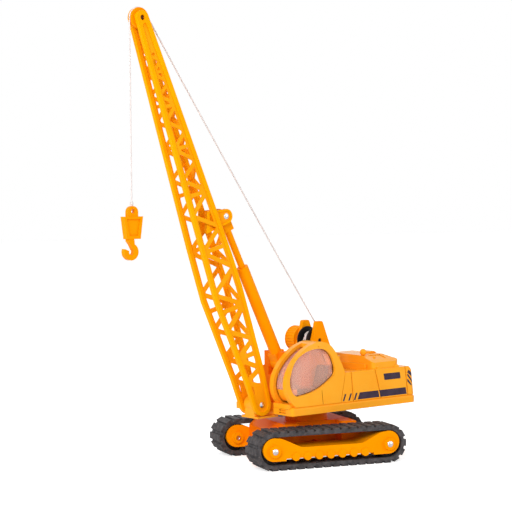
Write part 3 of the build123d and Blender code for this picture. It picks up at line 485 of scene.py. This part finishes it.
# Spans of the zigzag lacing between the rear chords, clear of the ears.
LACE = [(0.166, 0.256), (0.256, 0.355), (0.355, 0.440), (0.540, 0.636), (0.636, 0.713),
        (0.713, 0.781), (0.781, 0.835), (0.835, 0.890)]
LACE_W, LACE_T = 2.8, 1.6
LACE_DEPTH, LACE_EDGE_R = 0.3, 0.25    # below the rear chords' line
LACE_IN = 0.4              # reach of the lacing into the chords
CHORD_W, CHORD_T = 2.65, 2.9     # raised rim: width and thickness
LEDGE_W = 1.2              # chord beside its rim, level with the web
WEB_DEPTH, WEB_T = 0.9, 1.3      # web: depth below the rim, thickness
WEB_INSET, WEB_EDGE_R = 1.2, 0.22      # web's margin inside the boom's outline, and its edges
BAR_LEAN = 0.09            # slope of the struts, as a share of the boom's depth
FOOT_PANEL, TIP_PANEL = 8.8, 22.0      # closed lengths at the boom's ends
FOOT_R, TIP_R = 7.0, 4.4
TIP_BOSS_R, TIP_HOLE_R = 3.4, 1.6
PIN_HOLE_R = 1.3
CROSS_S, CROSS_UP, CROSS_R = 7.5, -3.2, 1.6    # rod across the foot: place and radius
CROSS_IN = 0.5             # reach of the rod into the chords
EAR_S, EAR_UP, EAR_R = 121.6, 17.3, 4.6        # the strut's ear: pin's place and outer radius
EAR_IN, EAR_T, EAR_RIM = 2.6, 2.4, 1.3         # inner face from the middle, thickness, rim's width
EAR_WEB_DEPTH = 0.5        # panel inside the ear's rim, below its face
EAR_ROOT_LOW, EAR_ROOT_HIGH, EAR_ROOT_OUT = 7.6, 9.8, 7.4      # block under the ear
CORNER_R, EDGE_R = 0.7, 0.32     # corners of the openings, and edges of the plates
LEAST_CELL = 1.5           # smaller openings stay closed, in square millimetres
ROUND_STEP = 20.0          # degrees between the points of a pin's hole
FAR = 20                   # half length of the lines that close the web at its ends

BOOM_L = hypot(SHEAVE.x - FOOT.x, SHEAVE.z - FOOT.z)
BOOM_ANGLE = atan2(SHEAVE.z - FOOT.z, SHEAVE.x - FOOT.x)
BOOM = DECK @ Matrix.Translation(FOOT * MM) @ Matrix.Rotation(-BOOM_ANGLE, 4, "Y")


def along(table, s):
    """Straight-line value from a table of (share of the boom's length, value)."""
    share = s / BOOM_L
    for (s0, v0), (s1, v1) in zip(table, table[1:]):
        if share <= s1:
            return v0 + (v1 - v0) * (share - s0) / (s1 - s0)
    return table[-1][1]


def arc(centre, radius, start, end, step=9.0):
    """Points of an arc from one angle to another, in degrees."""
    count = max(2, round(abs(end - start) / step))
    angles = [radians(start + (end - start) * i / count) for i in range(count + 1)]
    return [(centre[0] + radius * cos(a), centre[1] + radius * sin(a)) for a in angles]


def area(outline):
    """Area inside an outline, above 0 where it runs anticlockwise."""
    return sum(p[0] * q[1] - q[0] * p[1] for p, q in zip(outline, outline[1:] + outline[:1])) / 2


def rounded(outline, radius):
    """Outline with each corner turned by an arc of at most the radius."""
    points = []
    for before, here, after in zip(outline[-1:] + outline[:-1], outline, outline[1:] + outline[:1]):
        a = Vector((before[0] - here[0], before[1] - here[1]))
        b = Vector((after[0] - here[0], after[1] - here[1]))
        if min(a.length, b.length) < 0.02:
            continue
        half = a.angle(b) / 2
        reach = min(radius / max(tan(half), 0.05), 0.45 * min(a.length, b.length))
        p, q = a.normalized() * reach, b.normalized() * reach
        for t in (0.0, 0.25, 0.5, 0.75, 1.0):
            way = p * (1 - t)**2 + q * t**2
            points.append((here[0] + way.x, here[1] + way.y))
    return points


def loop_normals(loop):
    """Mitred unit normals to the left of a closed loop."""
    normals = []
    for before, here, after in zip(loop[-1:] + loop[:-1], loop, loop[1:] + loop[:1]):
        a = Vector((here[0] - before[0], here[1] - before[1])).normalized()
        b = Vector((after[0] - here[0], after[1] - here[1])).normalized()
        n = Vector((-a.y - b.y, a.x + b.x))
        n = n.normalized() if n.length > 1e-6 else Vector((-a.y, a.x))
        normals.append(n / max(0.5, n.dot(Vector((-a.y, a.x)))))
    return normals


def plate(outer, holes, near, far, edge=EDGE_R):
    """Plate with rounded edges: an outline and its holes in (s, u), between two depths."""
    loops = [outer if area(outer) > 0 else outer[::-1]]
    loops += [hole if area(hole) < 0 else hole[::-1] for hole in holes]
    levels = [(near, edge), (near + 0.3 * edge, 0.3 * edge), (near + edge, 0.0),
              (far - edge, 0.0), (far - 0.3 * edge, 0.3 * edge), (far, edge)]
    verts, faces, caps = [], [], []
    for loop in loops:
        first, count = len(verts), len(loop)
        normals = loop_normals(loop)
        for depth, inset in levels:
            verts += [(p[0] + n.x * inset, depth, p[1] + n.y * inset)
                      for p, n in zip(loop, normals)]
        for k in range(len(levels) - 1):
            for i in range(count):
                a, b = first + k * count + i, first + k * count + (i + 1) % count
                faces.append((a, b, b + count, a + count))
        caps.append((first, count))
    for level, flip in ((0, False), (len(levels) - 1, True)):
        index = [first + level * count + i for first, count in caps for i in range(count)]
        flat = [[verts[first + level * count + i] for i in range(count)] for first, count in caps]
        rings = [[Vector((v[0], v[2], 0)) for v in ring] for ring in flat]
        for a, b, c in tessellate_polygon(rings):
            a, b, c = index[a], index[b], index[c]
            turn = ((verts[b][0] - verts[a][0]) * (verts[c][2] - verts[a][2])
                    - (verts[c][0] - verts[a][0]) * (verts[b][2] - verts[a][2]))
            faces.append((a, c, b) if (turn > 0) == flip else (a, b, c))
    return verts, faces


def boom_outline(inset=0.0):
    """Outline of the boom's side: its chords with a round foot and a round tip."""
    front = [(s * BOOM_L, inset - v) for s, v in FRONT[1:-1]]
    rear = [(s * BOOM_L, v - inset) for s, v in REAR[1:-1]]
    tip = arc((BOOM_L, 0), TIP_R - inset, -70, 80)
    return front + tip + rear[::-1] + arc((0, 0), FOOT_R - inset, 100, 265)


def rim_opening():
    """Space inside the raised rim, from the foot to the boss at the tip."""
    front = [(s * BOOM_L, CHORD_W - v) for s, v in FRONT[1:-1]]
    rear = [(s * BOOM_L, v - CHORD_W) for s, v in REAR[1:-1]]
    end = BOOM_L - TIP_BOSS_R
    tip = [(end - 1.6, CHORD_W - along(FRONT, end - 1.6)), (end - 0.2, -0.6), (end - 0.2, 0.5)]
    tip.append((end - 1.4, along(REAR, end - 1.4) - CHORD_W))
    return front + tip + rear[::-1] + arc((0, 0), FOOT_R - CHORD_W, 100, 260)


def chord_point(s, rear):
    """Middle of the rear or the front chord at a place along the boom."""
    return (s, along(REAR, s) - CHORD_W / 2) if rear else (s, CHORD_W / 2 - along(FRONT, s))


def web_members():
    """Zigzag bars and struts in order along the boom: two ends and a width."""
    stations = [share * BOOM_L for share in WEB]
    members = [((FOOT_PANEL, -FAR), (FOOT_PANEL, FAR), 0.0)]
    for i, (s, s_next) in enumerate(zip(stations, stations[1:])):
        rear = i % 2 == 0
        here, width = chord_point(s, rear), along(BAR_W, s)
        if i and i % 3 == 0:
            lean = BAR_LEAN * (along(REAR, s) + along(FRONT, s))
            members.append((here, chord_point(s + lean if rear else s - lean, not rear), width))
        members.append((here, chord_point(s_next, not rear), width))
    end = BOOM_L - TIP_PANEL
    return members + [((end, -FAR), (end, FAR), 0.0)]


def web_cells():
    """Openings between the members and the chords' ledges."""
    width, end = CHORD_W + LEDGE_W, BOOM_L - TIP_PANEL
    front = [(s * BOOM_L, width - v) for s, v in FRONT[:-1]]
    front.append((end, width - along(FRONT, end)))
    rear = [(s * BOOM_L, v - width) for s, v in REAR[:-1]]
    rear.append((end, along(REAR, end) - width))
    opening = front + rear[::-1]
    cells = []
    members = web_members()
    for below, above in zip(members, members[1:]):
        cell = opening
        for (p, q, w), way in ((below, 1), (above, -1)):
            across = Vector((q[1] - p[1], p[0] - q[0])).normalized()
            if across.x < 0:
                across = -across
            across *= way
            cell = clipped(cell, (p[0] + across.x * w / 2, p[1] + across.y * w / 2), across)
        if len(cell) > 2 and abs(area(cell)) > LEAST_CELL:
            cells.append(rounded(cell, CORNER_R))
    return cells


def ear_plates():
    """Outline of the strut's ear, and of the hollow inside its raised rim."""
    below, above = EAR_S - EAR_R, EAR_S + EAR_R
    outline = [(below, -1), (above + 3.6, 4.5), (above, EAR_UP)]
    outline += arc((EAR_S, EAR_UP), EAR_R, 0, 180)[1:]
    hollow = [(below + EAR_RIM, 2.0), (above + 1.6, 5.6), (above - EAR_RIM, EAR_UP)]
    hollow += arc((EAR_S, EAR_UP), EAR_R - EAR_RIM, 0, 180)[1:]
    return outline, hollow


def by_half(part):
    """Places a part made with depths from the boom's outer face."""
    verts, faces = part
    return [(s, along(HALF, s) - depth, u) for s, depth, u in verts], faces


def at_mid(part):
    """Places a part made with depths from the boom's middle plane."""
    verts, faces = part
    return list(verts), [tuple(reversed(face)) for face in faces]


def lacing():
    """Flat zigzag bars between the rear chords, following their line."""
    parts = []
    for start, end in LACE:
        s0, s1 = start * BOOM_L, end * BOOM_L
        middle = (s0 + s1) / 2
        for a, b, way in ((s0, middle, 1), (middle, s1, -1)):
            p = Vector((a, way * (along(HALF, a) - CHORD_T + LACE_IN)))
            q = Vector((b, -way * (along(HALF, b) - CHORD_T + LACE_IN)))
            side = Vector((p.y - q.y, q.x - p.x)).normalized() * LACE_W / 2
            loop = [(v.x, v.y) for v in (p - side, q - side, q + side, p + side)]
            verts, faces = plate(loop, [], LACE_DEPTH, LACE_DEPTH + LACE_T, LACE_EDGE_R)
            parts.append(([(s, y, along(REAR, s) - depth) for s, depth, y in verts], faces))
    return parts


def boom_half(side, hand):
    """Left or right half of the boom: rims, web with its openings, ear, cross rod and lacing."""
    pin_hole, ear_pin, tip_hole = [
        arc(centre, radius, 0, 340, ROUND_STEP) for centre, radius in (
            ((0, 0), PIN_HOLE_R), ((EAR_S, EAR_UP), PIN_HOLE_R), ((BOOM_L, 0), TIP_HOLE_R))]
    ear_outline, ear_hollow = ear_plates()
    rims = [
        by_half(plate(boom_outline(), [rim_opening(), tip_hole], 0.0, CHORD_T)),
        at_mid(plate(ear_outline, [ear_hollow], EAR_IN + EAR_T, EAR_IN, 0.0)),
    ]
    holes = [pin_hole, tip_hole, *web_cells()]
    ear_face = EAR_IN + EAR_T - EAR_WEB_DEPTH
    rod_end = along(HALF, 0) - CHORD_T + CROSS_IN
    low, high = EAR_S - EAR_R, EAR_S + EAR_R + 2
    root = [(low, EAR_ROOT_LOW), (high, EAR_ROOT_LOW), (high, EAR_ROOT_HIGH), (low, EAR_ROOT_HIGH)]
    web = [
        by_half(plate(boom_outline(WEB_INSET), holes, WEB_DEPTH, WEB_DEPTH + WEB_T, WEB_EDGE_R)),
        at_mid(plate(ear_outline, [ear_pin], ear_face, EAR_IN + 0.02, 0.0)),
        tube([Vector((CROSS_S, y, CROSS_UP)) for y in (0.0, rod_end)], CROSS_R, 20),
        at_mid(plate(root, [], EAR_ROOT_OUT, EAR_IN + 1, 0.0)),
    ]
    if side > 0:
        web += lacing()
    rim_verts, rim_faces = joined(rims)
    verts, faces = joined([(rim_verts, rim_faces), joined(web)])
    if side < 0:
        verts = [(s, -y, u) for s, y, u in verts]
        faces = [tuple(reversed(face)) for face in faces]
    piece = add_mesh(f"boom_lattice_{hand}", verts, faces, BOOM)
    finish_piece(piece, "boom", RIM_ORANGE, smooth=False)
    piece.data.materials.append(LIT_WEB_ORANGE)
    for polygon in piece.data.polygons:
        polygon.material_index = int(polygon.index >= len(rim_faces))
    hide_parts(f"boom_half_{hand}")


boom_half(1, "left")
boom_half(-1, "right")

# ---------------------------------------------------------------- painted shade line round the side window
WINDOW_ARCS = [
    ((35.4, 49.2), (36.3, 53.8)), ((34.7, 59.6), (30.9, 66.4)), ((24.5, 70.9), (15.6, 73.5)),
    ((7.0, 73.3), (1.4, 69.6)), ((-1.4, 63.4), (-1.9, 58.3)), ((1.4, 54.4), (14.0, 48.1)),
    ((28.0, 45.3), (33.2, 46.0)),
]
SHADE_LINE_R = 0.28
SHADE_LINE_LIFT = 0.1            # how far the painted shade line stands out from the shell's inner face


def window_shade_line():
    """Thin dark line of painted shade where the side window's edge meets the clear moulding."""
    points = [Vector((x, 0, z)) for pair in WINDOW_ARCS for x, z in pair]
    line = smooth_line(points + points[:2], 0.8)
    line = [Vector((v.x, wall_y(0, v.z, -SHELL_T + SHADE_LINE_LIFT), v.z)) for v in line]
    piece = add_mesh("window_shade_line", *tube(line, SHADE_LINE_R, 8), DECK)
    finish_piece(piece, "superstructure", SHADE_BROWN)


window_shade_line()

# ---------------------------------------------------------------- string


def sheave_arc(start, end, steps):
    """Points on the sheave, by angle from straight forwards, in the deck frame."""
    points = []
    for i in range(steps + 1):
        a = radians(start + (end - start) * i / steps)
        points.append(SHEAVE + SHEAVE_LINE_R * Vector((cos(a), 0, sin(a))))
    return points


# The slack run behind the boom, as (share of the way from the sheave to the winch, sag).
SAG = [(0.2, 0.5), (0.4, 0.8), (0.6, 0.8), (0.8, 0.5)]
SAG_WAY = Vector((0.5, 0, -0.86))
WOUND_R = 7.0              # where the run leaves the windings
LANDS_AT = (-0.82, 0.57)   # the same place as shares of that radius, forwards and up
RUN_ON_WINCH_Y = 2.6
OVER_SHEAVE = 150          # degrees of the sheave that the string lies on
LINE_STEP = 2.0


def hoist_line():
    """String from the hook's fall over the sheave and down behind the boom to the drum."""
    over = sheave_arc(0, OVER_SHEAVE, 12)
    lands = WINCH + Vector((LANDS_AT[0] * WOUND_R, RUN_ON_WINCH_Y, LANDS_AT[1] * WOUND_R))
    top = over[-1]
    run = [top.lerp(lands, share) + SAG_WAY * sag for share, sag in SAG]
    wrap = WINCH + Vector((0.4 - WOUND_R, RUN_ON_WINCH_Y, -0.5))
    line = smooth_line([*over, *run, lands, wrap], LINE_STEP)
    piece = add_mesh("hoist_line", *tube(line, STRING_R, 8), DECK)
    piece.data.materials.append(STRING)
    for polygon in piece.data.polygons:
        polygon.use_smooth = True
    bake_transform(piece)
    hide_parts("hoist_string")


# Turns on the drum: radius over the core, number of turns, reach to each side.
LAYERS = [(0.45, 6, 3.3), (1.05, 4, 2.6), (1.65, 3, 1.9)]
TURN_STEPS = 18            # points in a turn
STRAY, STRAY_KEPT = 0.42, 0.93         # sideways step from point to point, and what lasts of it
LOOSE = 0.25               # how far a turn may stand off


def windings():
    """Untidy turns of string on the drum, with the black core showing between them."""
    rng = random.Random(4)
    parts = []
    for over, turns, reach in LAYERS:
        line = []
        drift = 0.0
        for i in range(TURN_STEPS * turns + 1):
            a = 2 * pi * i / TURN_STEPS
            drift = STRAY_KEPT * drift + rng.uniform(-STRAY, STRAY)
            sweep = reach * sin(2.3 * a / (over + 1) + over) * 0.7
            y = max(-reach, min(reach, sweep + drift))
            r = SPOOL_CORE_R + over + rng.uniform(0, LOOSE)
            line.append(WINCH + Vector((r * cos(a), y, r * sin(a))))
        parts.append(tube(smooth_line(line, 0.8), STRING_R, 7))
    piece = add_mesh("drum_windings", *joined(parts), DECK)
    finish_piece(piece, "winch_drum", STRING)
    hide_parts("wound_string")


KNOT_R, KNOT_H, KNOT_TURNS = 0.62, 1.8, 2
KNOT_UP = 1.2              # its middle above the top of the lug
HAIRS, HAIR_R = 7, 0.11


def hook_knot():
    """Knot above the hook's lug, with frayed ends."""
    x = SHEAVE.x + SHEAVE_LINE_R
    centre = Vector((x, 0, SHEAVE.z - LUG_DROP + KNOT_UP))
    steps = 16 * KNOT_TURNS
    turns = []
    for i in range(steps + 1):
        a = KNOT_TURNS * 2 * pi * i / steps
        up = KNOT_H * i / steps - KNOT_H / 2
        turns.append(centre + Vector((KNOT_R * cos(a), KNOT_R * sin(a), up)))
    rng = random.Random(9)
    parts = [tube(turns, STRING_R, 8)]
    for _ in range(HAIRS):
        a = rng.uniform(0, 2 * pi)
        reach = rng.uniform(1.4, 2.4)
        out = Vector((cos(a) * 0.5, sin(a) * 0.5, rng.uniform(0.5, 1.0))) * reach
        hair = [centre, centre + out * 0.5 + Vector((0.2, 0, 0)), centre + out]
        parts.append(tube(smooth_line(hair, 0.5), HAIR_R, 5, taper=lambda t: 1 - 0.6 * t))
    piece = add_mesh("hook_knot", *joined(parts), DECK)
    finish_piece(piece, "hook", STRING)


hoist_line()
windings()
hook_knot()

# ---------------------------------------------------------------- studio
FLOOR_HALF = 4000          # half width, in millimetres
FLOOR_GREY, FLOOR_GLOW = 0.86, 0.6
WORLD_LIGHT, WORLD_SEEN = 0.40, 1.0    # strength as a light, and as the background


def brighter_of(tree, first, second):
    """The larger of two values."""
    most = tree.nodes.new("ShaderNodeMath")
    most.operation = "MAXIMUM"
    tree.links.new(first, most.inputs[0])
    tree.links.new(second, most.inputs[1])
    return most.outputs[0]


def studio_floor():
    """Pale floor that reads as white to the camera and keeps the object's shadow."""
    corners = [(x * FLOOR_HALF, y * FLOOR_HALF, 0) for x, y in ((-1, -1), (1, -1), (1, 1), (-1, 1))]
    floor = add_mesh("floor", corners, [(0, 1, 2, 3)])
    material = bpy.data.materials.new("floor")
    material.use_nodes = True
    tree = material.node_tree
    shader = tree.nodes["Principled BSDF"]
    shader.inputs["Base Color"].default_value = (FLOOR_GREY, FLOOR_GREY, FLOOR_GREY, 1)
    shader.inputs["Roughness"].default_value = 0.8
    path = tree.nodes.new("ShaderNodeLightPath")
    seen = brighter_of(tree, path.outputs["Is Camera Ray"], path.outputs["Is Transmission Ray"])
    scaled = tree.nodes.new("ShaderNodeMath")
    scaled.operation = "MULTIPLY"
    scaled.inputs[1].default_value = FLOOR_GLOW
    tree.links.new(seen, scaled.inputs[0])
    shader.inputs["Emission Color"].default_value = (1, 1, 1, 1)
    tree.links.new(scaled.outputs[0], shader.inputs["Emission Strength"])
    floor.data.materials.append(material)


def studio_world():
    """Even light all round, and plain white behind the object."""
    world = bpy.data.worlds.new("studio")
    bpy.context.scene.world = world
    world.use_nodes = True
    tree = world.node_tree
    background = tree.nodes["Background"]
    background.inputs["Color"].default_value = (1, 1, 1, 1)
    path = tree.nodes.new("ShaderNodeLightPath")
    seen = path.outputs["Is Camera Ray"]
    for other in ("Is Glossy Ray", "Is Transmission Ray"):
        seen = brighter_of(tree, seen, path.outputs[other])
    strength = tree.nodes.new("ShaderNodeMapRange")
    strength.inputs["To Min"].default_value = WORLD_LIGHT
    strength.inputs["To Max"].default_value = WORLD_SEEN
    tree.links.new(seen, strength.inputs["Value"])
    tree.links.new(strength.outputs["Result"], background.inputs["Strength"])


# Softboxes: name, place in metres, size, watts.
LIGHTS = [
    ("key", (0.80, 1.00, 0.70), 0.55, 10.5),
    ("front", (0.95, 0.25, 0.30), 0.5, 1.8),
    ("fill", (-0.75, 0.85, 0.45), 0.7, 3.0),
    ("top", (0.0, -0.2, 1.3), 0.9, 2.8),
]
AIM = Vector((0.03, 0.0, 0.12))        # metres


def studio_lights():
    """Softboxes turned towards the crane's middle."""
    for name, place, size, watts in LIGHTS:
        lamp = bpy.data.lights.new(name, "AREA")
        lamp.size, lamp.energy = size, watts
        obj = bpy.data.objects.new(name, lamp)
        obj.location = place
        obj.rotation_euler = (AIM - obj.location).to_track_quat("-Z", "Y").to_euler()
        bpy.context.scene.collection.objects.link(obj)


# Camera: a long lens from the front left, a little above the object's middle; place in metres.
CAM_HEADING, CAM_PITCH, CAM_ROLL = radians(21.43), radians(2.58), radians(-0.49)
CAM_PLACE = (0.43485, 1.02086, 0.18201)
CAM_LENS, CAM_SENSOR, CAM_NEAREST = 119.95, 36.0, 0.05


def studio_camera():
    """The camera of the main view."""
    flat = cos(CAM_PITCH)
    back = Vector((sin(CAM_HEADING) * flat, cos(CAM_HEADING) * flat, sin(CAM_PITCH)))
    right = Vector((-cos(CAM_HEADING), sin(CAM_HEADING), 0))
    level = Matrix((right, back.cross(right), back)).transposed().to_4x4()
    data = bpy.data.cameras.new("camera")
    data.lens, data.sensor_width, data.clip_start = CAM_LENS, CAM_SENSOR, CAM_NEAREST
    camera = bpy.data.objects.new("camera", data)
    roll = Matrix.Rotation(CAM_ROLL, 4, "Z")
    camera.matrix_world = Matrix.Translation(CAM_PLACE) @ level @ roll
    bpy.context.scene.collection.objects.link(camera)
    bpy.context.scene.camera = camera


studio_floor()
studio_world()
studio_lights()
studio_camera()
bpy.context.scene.view_settings.view_transform = "Standard"
